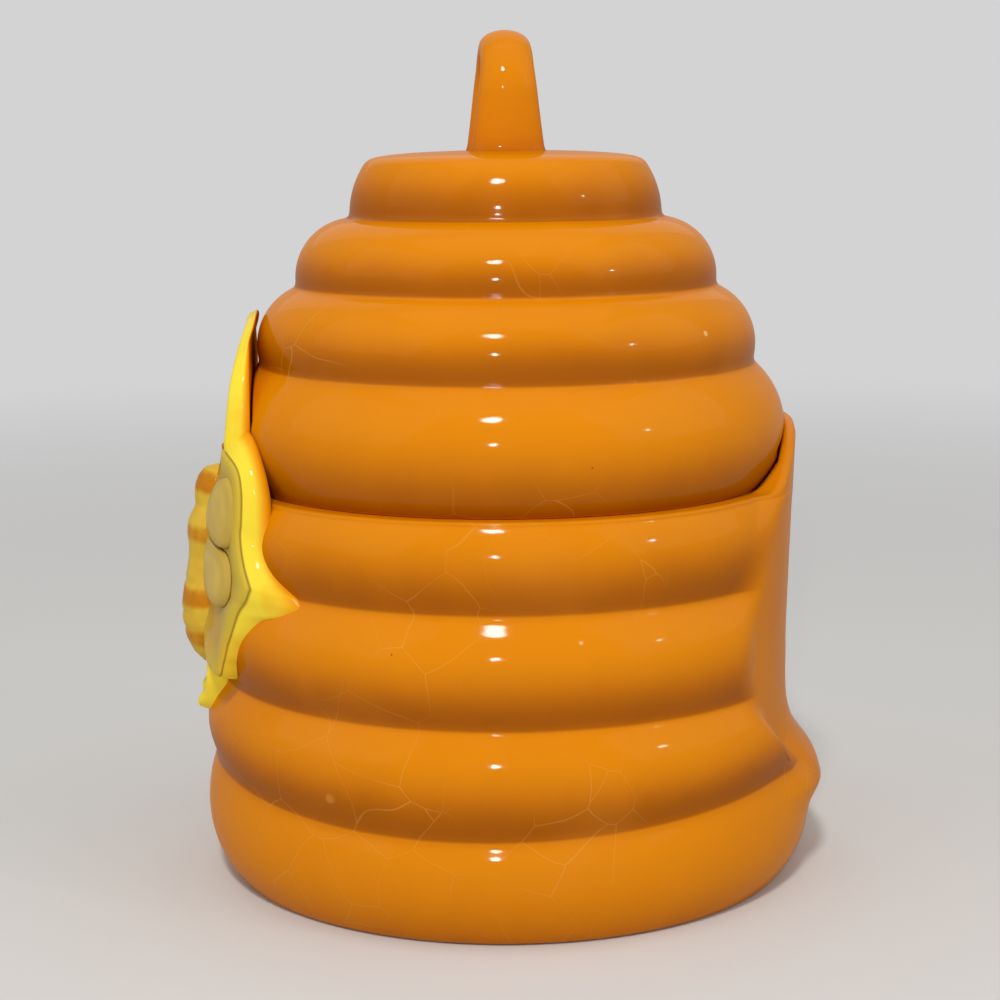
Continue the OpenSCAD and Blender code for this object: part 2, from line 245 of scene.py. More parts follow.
def smooth_back(angle, z):
    """1 on the smooth panel, 0 on the coils, and between the two along the panel's soft outline."""
    return ramp(-3.6, 2.6, inside_arch(PANEL_FLAT_R * np.cos(angle), z)) * (np.sin(angle) > 0)


def pot_radius(angle, r, z):
    """Outside of the pot: the coils, with the smooth panel and its sill worked into the back."""
    behind = np.sin(angle) > 0
    x = PANEL_FLAT_R * np.cos(angle)
    on_panel = smooth_back(angle, z) * ramp(17, 25, z)
    made = r + (panel_radius(angle, z) - r) * on_panel
    above = panel_radius(angle, z) + np.interp(z, *SILL_FLARE.T)
    below = FOOT_R + (SILL_REACH - FOOT_R) * ramp(11.0, SILL_Z - 0.8, z)
    reach = SILL_REACH / np.maximum(np.sin(angle), 0.3) - 0.1
    flare = np.minimum(np.where(z > SILL_Z - 1.0, above, below), reach)
    on_sill = ramp(31, 13, np.abs(x)) * ramp(9, 13, z) * ramp(46, 38, z) * behind
    with_sill = soft_max(made, flare, 1.6) - 0.1
    return made + (np.maximum(with_sill, made) - made) * on_sill


def pot_rim_path(angle, height, edge_r):
    """Section over the rim at one angle. Where the panel stands up it goes over the panel's top, and
    the panel thickens inwards at its root to follow the lid's lowest coil."""
    top = SEAM - 0.05 + height
    outer = 0.6 + 0.6 * min(1, height / 2)
    inner = min(1.15, height * 0.9)
    lid_r, lid_z, lid_bulge = LID_COILS[0]

    def out_at(z):
        return float(edge_r + (panel_radius(angle, z) - panel_radius(angle, SEAM)) * ramp(0, 2, height))

    def in_at(z):
        beside_lid = lid_r + LID_GAP + math.sqrt(lid_bulge ** 2 - min(0, z - lid_z) ** 2)
        return min(out_at(z) - PANEL_T, beside_lid)

    a = np.linspace(0, math.pi / 2, 8)
    rise = [[out_at(z), z] for z in np.linspace(SEAM - 0.65, top - outer, 8)]
    over = [[out_at(top) - outer + outer * math.cos(t), top - outer + outer * math.sin(t)] for t in a]
    down = [[in_at(top) + inner - inner * math.sin(t), top - inner + inner * math.cos(t)] for t in a]
    fall = [[in_at(z), z] for z in np.linspace(top - inner, SEAM - 0.05, 8)]
    return walked(rise + over + down + fall, count=30)


def make_pot():
    """The pot: foot, four coils, panel and sill, rim and hollow, as one fired wall."""
    angle = all_round()
    outline = walked(sponged(coil_outline(POT_COILS, 0, SEAM - 0.65), 1.15), 0.55)
    outline[:, 1] -= outline[0, 1]
    foot_r = outline[0, 0]
    outline = outline[outline[:, 1] > 0.35]
    under = ((12, 0.0), (30, 0.0), (44, 0.0), (foot_r - 1.6, 0.0), (foot_r - 0.7, 0.06))
    rings = [(r, z, 0.4, 1.0 if r < foot_r - 1 else 0.4) for r, z in under]
    for r, z in outline:
        level = z + groove_sway(angle, z)
        made = pot_radius(angle, r, level) + hand_wobble(angle, z, 0, SEAM)
        back = smooth_back(angle, z)
        # Darker over each coil's lower part: pooled glaze and painted shade.
        rings.append((made, level, glaze_pool_and_shade(z, POT_COILS, -16) * (1 - back) + 0.35 * back, 0))
    edge_r = pot_radius(angle, outline[-1, 0], SEAM - 0.65)
    x = PANEL_TOP_R * np.cos(angle)
    rise = np.where((np.sin(angle) > 0) & (np.abs(x) < PANEL_HALF),
                    PANEL_ARCH_Z + np.sqrt(np.maximum(0, PANEL_HALF ** 2 - x ** 2)) - SEAM, -5)
    height = np.where(rise < -1.4, 0, soft_max(rise, np.zeros(TURNS), 1.4))
    paths = np.array([pot_rim_path(a, h, e) for a, h, e in zip(angle, height, edge_r)])
    for r, z in paths.transpose(1, 2, 0):
        rings.append((r, z, 0.3, (z < SEAM + 0.1) & (r < BARE_R)))
    hollow = sponged([[MOUTH_R + 0.6, SEAM - 0.05], [MOUTH_R, SEAM - 0.6], [MOUTH_R, SEAM - 3],
                      [HOLLOW_R, SEAM - 9], [HOLLOW_R, 14], [HOLLOW_R - 2.6, 7.6],
                      [HOLLOW_R - 9, FLOOR_Z + 0.1], [0.8, FLOOR_Z]], 0.7)
    hollow = walked(hollow, 1.5)
    hollow = hollow[hollow[:, 0] > 1.5]
    last_r = paths[:, -1, 0]
    for t in (0.35, 0.7):
        r = last_r + (hollow[0, 0] - last_r) * t
        rings.append((r, SEAM - 0.05, 0.3, r < BARE_R))
    rings += [(r, z, 0.5, z > SEAM - 0.4) for r, z in hollow]
    return glazed_round("coiled_pot", rings, (0, 0.4, 1), (FLOOR_Z, 0.5, 0), "pot",
                        ("pot_shell", "back_panel", "back_sill"))


def glaze_pool_and_shade(z, coils, foot):
    """How dark the amber is laid: light on a coil's shoulder where the glaze runs thin, darker over its lower
    part towards the groove under it and a little darker again right at the groove above, partly where the
    glaze pools and partly as painted shade. Foot is where the lowest coil's glaze would stop running."""
    meets = [foot] + [groove(a, b)[1] for a, b in zip(coils, coils[1:])]
    tops = meets[1:] + [coils[-1][1] + coils[-1][2] * 0.9]
    for low, high in zip(meets, tops):
        if z < high or high == tops[-1]:
            up = (z - low) / (high - low)
            return float(0.1 + 0.9 * (1 - ramp(0.05, 0.8, up)) + 0.25 * ramp(0.93, 1.0, up))
    return 0.3


def make_lid():
    """The lid: hollow inside, four coils outside, cut back for the petal and for the panel."""
    angle = all_round()
    shoulder = [[25.0, 127.3], [23.3, 128.0], [20.6, 128.4], [17, CROWN + 0.2], [13, CROWN + 0.4]]
    outline = np.concatenate([coil_outline(LID_COILS, SEAM + 0.45, 126.4), shoulder])
    outline = walked(sponged(outline, 0.7), 0.55)
    grooves = [[r - 4.2, z] for r, z in (groove(a, b) for a, b in zip(LID_COILS, LID_COILS[1:]))]
    bore = [[COLLAR_R, 87.6], [COLLAR_R, SEAM + 0.5]]
    hollow = sponged([[2, ROOF_Z], [20.8, ROOF_Z]] + grooves[::-1] + bore, 0.8)
    edge_r = outline[0, 0]
    bore_r = COLLAR_R + 0.45
    foot = [[r, SEAM] for r in (bore_r, 43.2, 44.4, 45.4, edge_r - 0.55)] + [[edge_r - 0.2, SEAM + 0.12]]
    crown = [[10, CROWN + 0.5], [6, CROWN + 0.6], [2.5, CROWN + 0.65]]
    slot = (PETAL_BACK - LID_GAP) / np.maximum(-np.sin(angle), 0.3)
    slot = slot + 4 * ramp(NOTCH_HALF - 0.7, NOTCH_HALF + 1.2, np.abs(slot * np.cos(angle)))
    slot = np.where(np.sin(angle) < -0.3, slot, 99)
    rings = [(r, z, 0.3, 0) for r, z in walked(hollow, 1.5)]
    for r, z in foot:
        tucked = bore_r + (r - bore_r) * (slot - bore_r) / (edge_r - bore_r)
        rings.append((np.minimum(r, tucked), z, 0.3, r < BARE_R))
    for r, z in np.concatenate([outline, crown]):
        made = r + hand_wobble(angle, z, SEAM, CROWN + 3) * min(1, r / 20)
        made = np.minimum(made, slot)
        cut = ramp(-0.7, 0.2, inside_arch(made * np.cos(angle), z, LID_GAP)) * (np.sin(angle) > 0)
        made = made + (np.minimum(made, panel_radius(angle, z, PANEL_T + LID_GAP)) - made) * cut
        # Darker over each coil's lower part: pooled glaze and painted shade.
        rings.append((made, z, glaze_pool_and_shade(z, LID_COILS, SEAM - 2) if r > 20 else 0.3, 0))
    return glazed_round("coiled_lid", rings, (ROOF_Z, 0.3, 0), (CROWN + 0.65, 0.3, 0), "lid", ("lid_shell",))


def make_loop():
    """The loop on the crown: rolled clay bent over, wider at its feet and luted on with a fillet."""
    reach, thick, squareness = 11.0, 5.8, 0.96
    mid_r = reach - thick / 2
    bend_z = TOP - reach
    leg = np.linspace(CROWN - 0.8, bend_z, 16, endpoint=False)
    over = np.linspace(0, math.pi, 40)
    bend = [[mid_r * math.cos(a), bend_z + mid_r * math.sin(a), a] for a in over]
    spine = [[mid_r, z, 0.0] for z in leg] + bend + [[-mid_r, z, math.pi] for z in leg[::-1]]
    around = np.linspace(0, 2 * math.pi, 40, endpoint=False)
    rings, pooled_and_shaded = [], []
    for x, z, a in spine:
        up = z - CROWN
        foot = 0.35 * max(0.0, 1 - up / 1.6) ** 2
        deep = 6.5 - 1.85 * min(1.0, max(0.0, up) / 15) ** 0.9 + foot
        half = thick / 2 + 0.9 * foot
        c, s = np.cos(around), np.sin(around)
        out = half * np.sign(c) * np.abs(c) ** squareness
        side = deep * np.sign(s) * np.abs(s) ** squareness
        trim = 1 - 0.06 * ramp(bend_z + 4, TOP, z)
        level = z + out * math.sin(a)
        rings.append(np.stack([x + out * math.cos(a), side * trim, level], 1))
        # Darker at the feet, in the fillet on the crown: pooled glaze with painted shade.
        pooled_and_shaded.append(0.25 + 0.6 * np.exp(-np.maximum(0, level - CROWN) / 1.6))
    points, faces = capped(rings, (mid_r, 0, CROWN - 0.8), (-mid_r, 0, CROWN - 0.8))
    marks = {"pooled_and_shaded": np.concatenate(pooled_and_shaded + [[0.8, 0.8]]), "bare": np.zeros(len(points))}
    return fired("loop_handle", points, inside_out(faces), "lid", ("lid_loop_handle",), marks)


# ------------------------------------------------------------------ the flower

def off_outline(points, ring):
    """Distance of each point from a closed outline."""
    a, b = ring, np.roll(ring, -1, axis=0)
    d = b - a
    best = np.full(len(points), 1e9)
    for p, q in zip(a, d):
        t = np.clip(((points - p) @ q) / max(q @ q, 1e-12), 0, 1)
        best = np.minimum(best, np.hypot(*(points - p - t[:, None] * q).T))
    return best


def within(points, ring):
    """Which points lie inside a closed outline."""
    x, y = points.T
    hit = np.zeros(len(points), bool)
    for (ax, ay), (bx, by) in zip(ring, np.roll(ring, -1, axis=0)):
        rise = (by - ay) if by != ay else 1e-12
        hit ^= ((ay > y) != (by > y)) & (x < (bx - ax) * (y - ay) / rise + ax)
    return hit


def cut_out(ring, grain=1.3):
    """A flat piece cut to a ring of points, as points and triangles that are finer towards its edge."""
    ahead = np.roll(ring, -1, axis=0) - np.roll(ring, 1, axis=0)
    inward = np.stack([-ahead[:, 1], ahead[:, 0]], 1) / np.maximum(np.hypot(*ahead.T), 1e-9)[:, None]
    fill = []
    for inset in (0.22, 0.5, 0.9, 1.5):
        moved = ring + inward * inset
        keep = within(moved, ring) & (off_outline(moved, ring) > inset * 0.93)
        fill.append(moved[keep])
    low, high = ring.min(0), ring.max(0)
    gx, gy = np.meshgrid(np.arange(low[0], high[0], grain), np.arange(low[1], high[1], grain * 0.87))
    gx = gx + (np.arange(gx.shape[0]) % 2)[:, None] * grain / 2
    net = np.stack([gx.ravel(), gy.ravel()], 1)
    keep = within(net, ring) & (off_outline(net, ring) > 1.5 + grain * 0.55)
    fill.append(net[keep])
    flat = np.concatenate([ring] + fill)
    outline = [list(range(len(ring)))]
    verts, _, tris, *_ = delaunay_2d_cdt([Vector(p) for p in flat], [], outline, 1, 1e-5)
    return np.array([list(v) for v in verts]), [tuple(t) for t in tris]


def slab(name, ring, base, face, back, rounding, replaces, lined=False, bulge=0.0):
    """A thick piece lying on the pot. Its modelled face has a rounded edge, and its wall runs from the
    ring around the face out to the ring around its base, point for point. A lined one has a dark line
    of broken glaze around its face."""
    turn = np.sum(ring[:, 0] * np.roll(ring[:, 1], -1) - np.roll(ring[:, 0], -1) * ring[:, 1])
    if turn < 0:
        ring, base = ring[::-1], base[::-1]
    flat, tris = cut_out(ring)
    d = off_outline(flat, ring)
    tuck = rounding * (1 - np.sqrt(np.clip(1 - (1 - np.minimum(d, rounding) / rounding) ** 2, 0, 1)))
    x, z = flat.T
    count, n = len(flat), len(ring)
    front_y = face(x, z, d) + tuck
    behind = flat.copy()
    behind[:n] = base
    back_y = np.maximum(back(*behind.T), front_y + 0.6)
    points = [np.stack([x, front_y, z], 1)]
    wall = [np.zeros(count) if lined else 0.08 * ramp(3.6, 0.8, d)]
    out = np.roll(ring, -1, axis=0) - np.roll(ring, 1, axis=0)
    out = np.stack([out[:, 1], -out[:, 0]], 1) / np.maximum(np.hypot(*out.T), 1e-9)[:, None]
    levels = (0.06, 0.2, 0.4, 0.6, 0.8)
    for t in levels:
        row = flat[:n] + (base - flat[:n]) * t + out * bulge * math.sin(math.pi * t)
        points.append(np.stack([row[:, 0], front_y[:n] + (back_y[:n] - front_y[:n]) * t, row[:, 1]], 1))
        wall.append(np.full(n, t))
    points.append(np.stack([behind[:, 0], back_y, behind[:, 1]], 1))
    wall.append(np.ones(count))
    starts = [0] + [count + k * n for k in range(len(levels))] + [count + len(levels) * n]
    faces = list(tris) + [(starts[-1] + c, starts[-1] + b, starts[-1] + a) for a, b, c in tris]
    for i in range(n):
        k = (i + 1) % n
        for a, b in zip(starts, starts[1:]):
            faces.append((a + k, a + i, b + i, b + k))
    points, none = np.concatenate(points), np.zeros(len(levels) * n + count)
    marks = {"wall": np.concatenate(wall), "edge": np.append(np.exp(-(d / 0.18) ** 2) * lined, none),
             "depth": np.append(np.minimum(d, 8) / 8, none)}
    return fired(name, points, faces, "pot", replaces, marks)


def through(points, count=9, closed=False):
    """A smooth line through some points, with count steps from each to the next and without the last."""
    p = np.asarray(points, float)
    before, after = (p[-1:], p[:2]) if closed else (2 * p[:1] - p[1:2], 2 * p[-1:] - p[-2:-1])
    p = np.concatenate([before, p, after])
    t = np.linspace(0, 1, count, endpoint=False)[:, None]
    spans = []
    for a, b, c, d in zip(p, p[1:], p[2:], p[3:]):
        bend, twist = 2 * a - 5 * b + 4 * c - d, 3 * b - a - 3 * c + d
        spans.append(0.5 * (2 * b + (c - a) * t + bend * t * t + twist * t ** 3))
    return np.concatenate(spans)


def leaf(length, width, near, out):
    """A leaf-shaped outline lying along x from 0. Near and out are shares of its length: how far from
    its root and how far out its sides are pulled."""
    half = width / 1.5
    root, tip, low, high = (0, 0), (length, 0), (length * near, half), (length * out, half)
    return np.concatenate([curve(root, low, high, tip, 70),
                           curve(tip, (high[0], -half), (low[0], -half), root, 70)])


def turned(points, degrees):
    a = math.radians(degrees)
    return points @ np.array([[math.cos(a), math.sin(a)], [-math.sin(a), math.cos(a)]])


def side_petal_ring(shoulder, waist, spike):
    """Outline of the right side petal: round shoulder, waist, drooping spike, and a straight join."""
    join = np.linspace([0.05, spike[-1][1]], [0.05, shoulder[0][1]], 50)
    outline = np.concatenate([through(shoulder, 8), through(waist, 8), through(spike, 8), join])
    return outline + [0, FLOWER_Z]


# Heights, and the least y that the flower's face comes forward to at each.
LEAN = sponged([[55.0, -61.0], [65.5, -55.2], [75.5, -50.8], [80.0, -50.1], [84.0, -49.6], [90.0, -48.8],
                [95.6, -47.5], [98.0, -46.7], [100.0, -46.1], [104.0, -46.0]], 1.0)


def flower_face(x, z):
    """The face that the petals are modelled on: round the hive below and a little hollow behind the
    bee, leaning back above the rim."""
    big = FACE_R - FACE_TAPER * (z - FLOWER_Z)
    curved = -np.sqrt(np.maximum(big ** 2 - x ** 2, 1)) + 1.2 * np.exp(-(x / 15) ** 2)
    return soft_max(curved, np.interp(z, LEAN[:, 0], LEAN[:, 1]), 1.2)


def on_pot(x, z):
    """The back of a petal pressed on the pot."""
    return -np.sqrt(np.maximum(PRESSED_R ** 2 - x ** 2, 1))


def make_petals():
    """Five petals with rolled edges, each a little dished and creased along its middle."""
    def top_face(x, z, d):
        up = (z - FLOWER_Z) / 45
        crease = 0.4 * np.exp(-(x / 1.3) ** 2) * ramp(0.15, 0.5, up) * ramp(0.95, 0.75, up)
        return flower_face(x, z) + 0.7 * ramp(1.0, 7, d) * ramp(1.0, 0.9, up) + crease + 1.1 * ramp(80, 75, z)

    def top_back(x, z):
        return np.where(z > SEAM, -PETAL_BACK, on_pot(x, z))

    top_ring, top_base = (turned(leaf(45.0, width, 0.25, 1.0), 90) + [0, FLOWER_Z] for width in (41.0, 41.4))
    pieces = [slab("top_petal", top_ring, top_base, top_face, top_back, 1.1,
                   ("flower_top_petal",), False, 0.3)]
    face_ring = side_petal_ring(
        [(0, 19), (10, 21.8), (18, 22.6), (22.8, 21.9), (26.2, 20), (27.6, 16.4), (27.9, 11.4)],
        [(27.9, 11.4), (27.8, 9), (29, 5), (31.3, 0.8)],
        [(31.3, 0.8), (30.3, -1.2), (28.6, -3.2), (27.5, -5.3), (26.4, -7.7), (25, -10.5), (23.8, -13.5),
         (21.6, -16.4), (13, -15), (0, -10)])
    base_ring = side_petal_ring(
        [(0, 22), (10.5, 25), (18, 26.6), (22.8, 25.2), (26, 20.6), (27.6, 15.8), (27.9, 10.8)],
        [(27.9, 10.8), (28.2, 5.6), (30.4, 2.2), (34.4, -0.9)],
        [(34.4, -0.9), (35.5, -2.4), (34.4, -4.0), (30.6, -4.6), (27.8, -6.5), (24.2, -9.9), (21.5, -13),
         (18.2, -17.4), (12, -17), (0, -12)])

    def side_face(x, z, d):
        reach = np.hypot(x, z - FLOWER_Z)
        line = z - FLOWER_Z + 1 + 0.04 * np.abs(x)
        vein = 0.3 * np.exp(-(line / 1.2) ** 2) * ramp(9, 16, reach) * ramp(33, 26, reach)
        return flower_face(x, z) - 0.25 + 0.85 * ramp(0.9, 6, d) + vein

    def low_face(x, z, d):
        knob = 1.3 * np.exp(-((z - 31.6) ** 2 + (np.abs(x) - 6) ** 2) / 5)
        return flower_face(x, z) + 0.35 + 0.5 * ramp(0.8, 4, d) + 0.7 * ramp(37, 42, z) - knob

    low_ring = turned(leaf(26.6, 14.0, 0.3, 0.9), -77) + [0, FLOWER_Z]
    low_base = turned(leaf(27.8, 16.0, 0.3, 0.9), -76) + [0, FLOWER_Z]
    for side, word in ((1, "right"), (-1, "left")):
        for name, ring, base, face, rounding, lined, bulge in (
                ("side_petal_", face_ring, base_ring, side_face, 0.6, True, 0.5),
                ("low_petal_", low_ring, low_base, low_face, 0.8, False, 0.3)):
            pieces.append(slab(name + word, ring * [side, 1], base * [side, 1], face, on_pot, rounding,
                               ("flower_" + name + word,), lined, bulge))
    return pieces


# ------------------------------------------------------------------ the bee

def bee_place(points):
    """Sets the bee, modelled head up about its waist, on the sloping face of the flower."""
    tip = math.atan(FACE_TAPER)
    x, y, z = np.asarray(points, float).T
    return np.stack([x, -BEE_Y + y * math.cos(tip) + z * math.sin(tip),
                     WAIST_Z - y * math.sin(tip) + z * math.cos(tip)], 1)


def make_bee():
    """The bee, rolled and pinched from one piece: head, neck, thorax, waist and a long abdomen. It is
    wider than it is deep, and its bands are marked for the brush."""
    # Height, half depth and half width, from the crown of the head to the tip of the abdomen.
    shape = np.array([[17.3, 0, 0], [16.6, 2.3, 2.6], [15.1, 3.4, 3.9], [13.3, 3.95, 4.6], [11.1, 3.95, 4.5],
                      [9.8, 3.7, 4.3], [8.5, 4.3, 5.2], [6.9, 5.0, 6.1], [4.7, 5.08, 6.4], [2.5, 4.72, 5.8],
                      [0.4, 4.65, 5.4], [-2, 4.88, 5.9], [-3.9, 5.22, 6.6], [-6.1, 5.43, 7.1],
                      [-8.8, 5.67, 7.2], [-11.5, 5.4, 6.8], [-14.6, 4.6, 5.7], [-17.2, 3.2, 4.0],
                      [-19, 1.3, 1.7], [-19.6, 0, 0]])
    deep = sponged(shape[:, [1, 0]], 0.35)
    wide = np.interp(-deep[:, 1], -shape[:, 0], shape[:, 2] / np.maximum(shape[:, 1], 0.5)) * deep[:, 0]
    path = walked(np.stack([deep[:, 0], deep[:, 1], wide], 1)[deep[:, 0] >= 0], 0.3)
    path[0, [0, 2]] = path[-1, [0, 2]] = 0
    z = path[:, 1]
    band = np.maximum(ramp(3.4, 0.6, np.abs(z - 14.2)) * 0.9, ramp(2.9, 0.3, np.abs(z - 4.9)) * 0.85)
    for middle, strong in ((-6.6, 0.95), (-14.4, 0.8)):
        band = np.maximum(band, ramp(3.1, 0.5, np.abs(z - middle)) * strong)
    for middle in (-4.0, -9.6, -12.6):
        path[:, 0] -= 0.22 * np.exp(-((z - middle) / 0.6) ** 2) * ramp(0, 2, path[:, 0])
    around = np.linspace(0, 2 * math.pi, 64, endpoint=False)
    rings = [np.stack([w * np.cos(around), r * np.sin(around), np.full(64, h)], 1) for r, h, w in path[1:-1]]
    points, faces = capped(rings, (0, 0, path[0, 1]), (0, 0, path[-1, 1]))
    shade = np.concatenate([np.repeat(band[1:-1], 64), [band[0], band[-1]]])
    body = fired("bee_body", bee_place(points), inside_out(faces), "pot",
                 ("bee_head", "bee_thorax", "bee_abdomen", "bee_stripes"), {"band": shade})
    return [body] + [make_antenna(side) for side in (1, -1)] + make_wings()


def make_antenna(side):
    """A thin roll of clay laid on the petal, ending in a small knob."""
    t = np.linspace(2.2, 10.5, 24)
    spine = np.stack([side * (1.4 + 0.42 * t + 0.03 * t * t), 0.17 * (t + 3.2) - 0.3, 12.0 + t], 1)
    around = np.linspace(0, 2 * math.pi, 14, endpoint=False)
    rings = []
    for n, p in enumerate(spine):
        t = n / (len(spine) - 1)
        r = 0.75 - 0.12 * t + 0.3 * math.exp(-((t - 0.93) / 0.09) ** 2)
        r *= math.sqrt(max(0.05, 1 - max(0, (t - 0.93) / 0.07) ** 2))
        rings.append(np.stack([p[0] + r * np.cos(around), p[1] + r * np.sin(around), np.full(14, p[2])], 1))
    points, faces = capped(rings, spine[0] - [0, 0, 0.2], spine[-1] + [0, 0, 0.1])
    name = "bee_antenna_" + ("right" if side > 0 else "left")
    return fired(name, bee_place(points), faces, "pot", ("bee_antennae",),
                 {"band": np.ones(len(points))})


def make_wings():
    """Four puffy pads of slip on the side petals, thin at the root and thick at their round ends."""
    fore = [(5.5, 64.2), (10, 63.6), (15, 63.1), (20, 62.2), (23.6, 62.7), (25.7, 65.4), (26.1, 69.4),
            (25.1, 72.7), (22.6, 74.4), (18.5, 73.1), (14, 70), (9.5, 67)]
    hind = [(5, 61.2), (5.6, 57), (8, 54), (13, 52.6), (19, 51.7), (22.6, 52.2), (24.6, 54.2), (25.2, 57),
            (24.4, 60), (21.8, 61.5), (15, 62), (9.5, 62.2)]
    pieces = []

    def face(x, z, d):
        return flower_face(x, z) - 0.15 - 0.95 * ramp(5, 14, np.abs(x)) * (0.55 + 0.45 * ramp(0, 3.2, d))

    def back(x, z):
        return flower_face(x, z) + 0.5

    for side, word in ((1, "right"), (-1, "left")):
        for name, ring in (("forewing", fore), ("hindwing", hind)):
            ring = through(ring, 9, closed=True)
            base = ring + (ring - ring.mean(0)) * 0.02
            pieces.append(slab(name + "_" + word, ring * [side, 1], base * [side, 1], face, back, 0.7,
                               ("bee_%s_%s" % (name, word),)))
    return pieces


# ------------------------------------------------------------------ glazes

def linear(code):
    """A colour written as sRGB hex, turned linear."""
    parts = [int(code[n:n + 2], 16) / 255 for n in (1, 3, 5)]
    return tuple(c / 12.92 if c <= 0.04045 else ((c + 0.055) / 1.055) ** 2.4 for c in parts) + (1.0,)


def add(tree, kind, out=0, settings=None, **links):
    """Adds one node, with its settings, its links and its values, and gives back one of its outputs."""
    made = tree.nodes.new("ShaderNode" + kind)
    for key, value in (settings or {}).items():
        setattr(made, key, value)
    for key, value in links.items():
        socket = made.inputs[int(key[1:])] if key[1:].isdigit() else made.inputs[key.replace("_", " ")]
        if isinstance(value, bpy.types.NodeSocket):
            tree.links.new(value, socket)
        else:
            socket.default_value = value
    return made.outputs[out] if made.outputs else made


SMOOTH = {"interpolation_type": "SMOOTHSTEP"}
BLEND = {"data_type": "RGBA"}


def new_glaze(name):
    glaze = bpy.data.materials.new(name)
    glaze.use_nodes = True
    tree = glaze.node_tree
    tree.nodes.clear()
    return glaze, tree


def fire(tree, colour, grain_mm, unevenness, glass=0.3):
    """The clear glass of a fired glaze over its colour, with a slightly uneven skin."""
    place = add(tree, "TexCoord", "Object")
    skin = add(tree, "TexNoise", Vector=place, Scale=1000 / grain_mm, Detail=2.0)
    uneven = add(tree, "Bump", Strength=unevenness, Distance=0.0003, Height=skin)
    ware = add(tree, "BsdfPrincipled", Base_Color=colour, Roughness=0.55, IOR=1.5, Specular_IOR_Level=0.0,
               Coat_Weight=glass, Coat_Roughness=0.07, Coat_IOR=1.38, Normal=uneven, Coat_Normal=uneven)
    add(tree, "OutputMaterial", Surface=ware)


def craze(tree, place, cell_mm, width_mm, share):
    """Fine cracks in a fired glaze: thin lines between cells of that size, here and there."""
    drift = add(tree, "TexNoise", "Color", Vector=place, Scale=1000 / (cell_mm * 2.2), Detail=2.0)
    bent = add(tree, "VectorMath", 0, {"operation": "MULTIPLY_ADD"}, i0=drift, i1=(cell_mm * MM * 0.8,) * 3,
               i2=place)
    cells = add(tree, "TexVoronoi", 0, {"feature": "DISTANCE_TO_EDGE"}, Vector=bent, Scale=1000 / cell_mm)
    line = add(tree, "MapRange", 0, SMOOTH, Value=cells, From_Min=width_mm / cell_mm * 0.4,
               From_Max=width_mm / cell_mm, To_Min=1.0, To_Max=0.0)
    patch = add(tree, "TexNoise", Vector=place, Scale=1000 / (cell_mm * 2.6), Detail=1.0)
    shown = add(tree, "MapRange", 0, SMOOTH, Value=patch, From_Min=0.5, From_Max=0.66, To_Max=share)
    return add(tree, "Math", 0, {"operation": "MULTIPLY"}, i0=line, i1=shown)


def amber_glaze():
    """Clear amber glaze poured over pale earthenware: bright where it runs thin on the coils' shoulders,
    browner where it pools towards the grooves, a browning that is also painted shade over each coil's lower
    part; with a glassy skin, fine crazing, a few pale chips and a dark pinhole here and there."""
    glaze, tree = new_glaze("amber_glaze_on_earthenware")
    place = add(tree, "TexCoord", "Object")
    pooled_and_shaded = add(tree, "Attribute", "Fac", {"attribute_name": "pooled_and_shaded"})
    bare = add(tree, "Attribute", "Fac", {"attribute_name": "bare"})
    cloudy = add(tree, "TexNoise", Vector=place, Scale=1000 / 38.0, Detail=3.0)
    runny = add(tree, "TexNoise", Vector=place, Scale=1000 / 9.0, Detail=4.0, Roughness=0.6)
    # The amber darkens over each coil's lower part and in the grooves: partly pooled glaze, partly painted
    # shade.
    stirred = add(tree, "Math", 0, {"operation": "MULTIPLY_ADD"}, i0=cloudy, i1=0.5, i2=pooled_and_shaded)
    thick = add(tree, "Math", 0, {"operation": "MULTIPLY_ADD"}, i0=runny, i1=0.16, i2=stirred)
    thick = add(tree, "MapRange", 0, SMOOTH, Value=thick, From_Min=0.30, From_Max=1.42)
    shade = add(tree, "ValToRGB", Fac=thick)
    stops = shade.node.color_ramp.elements
    stops[0].color = linear("#DC8404")
    stops[1].color = linear("#A45902")
    for at, code in ((0.3, "#D17B03"), (0.55, "#C67103"), (0.8, "#B66502")):
        stops.new(at).color = linear(code)
    blush = add(tree, "TexNoise", Vector=place, Scale=1000 / 24.0, Detail=2.0)
    blush = add(tree, "MapRange", 0, SMOOTH, Value=blush, From_Min=0.52, From_Max=0.8, To_Max=0.2)
    colour = add(tree, "Mix", 2, BLEND, i0=blush, i6=shade, i7=linear("#D8842A"))
    cracks = craze(tree, place, 11.0, 0.09, 0.3)
    colour = add(tree, "Mix", 2, BLEND, i0=cracks, i6=colour, i7=linear("#E3A552"))
    chip = add(tree, "TexVoronoi", Vector=place, Scale=1000 / 29.0)
    chip = add(tree, "MapRange", 0, SMOOTH, Value=chip, From_Min=0.014, From_Max=0.021, To_Min=0.8,
               To_Max=0.0)
    colour = add(tree, "Mix", 2, BLEND, i0=chip, i6=colour, i7=linear("#EDBB80"))
    pin = add(tree, "TexVoronoi", Vector=place, Scale=1000 / 13.0)
    pin = add(tree, "MapRange", 0, SMOOTH, Value=pin, From_Min=0.012, From_Max=0.018, To_Min=0.6, To_Max=0.0)
    colour = add(tree, "Mix", 2, BLEND, i0=pin, i6=colour, i7=linear("#5C3208"))
    clay = add(tree, "Mix", 2, BLEND, i0=runny, i6=linear("#D8C3A0"), i7=linear("#C7AE88"))
    bare = add(tree, "MapRange", 0, SMOOTH, Value=bare, From_Min=0.45, From_Max=0.75)
    colour = add(tree, "Mix", 2, BLEND, i0=bare, i6=colour, i7=clay)
    fire(tree, colour, 5.5, 0.12)
    return glaze


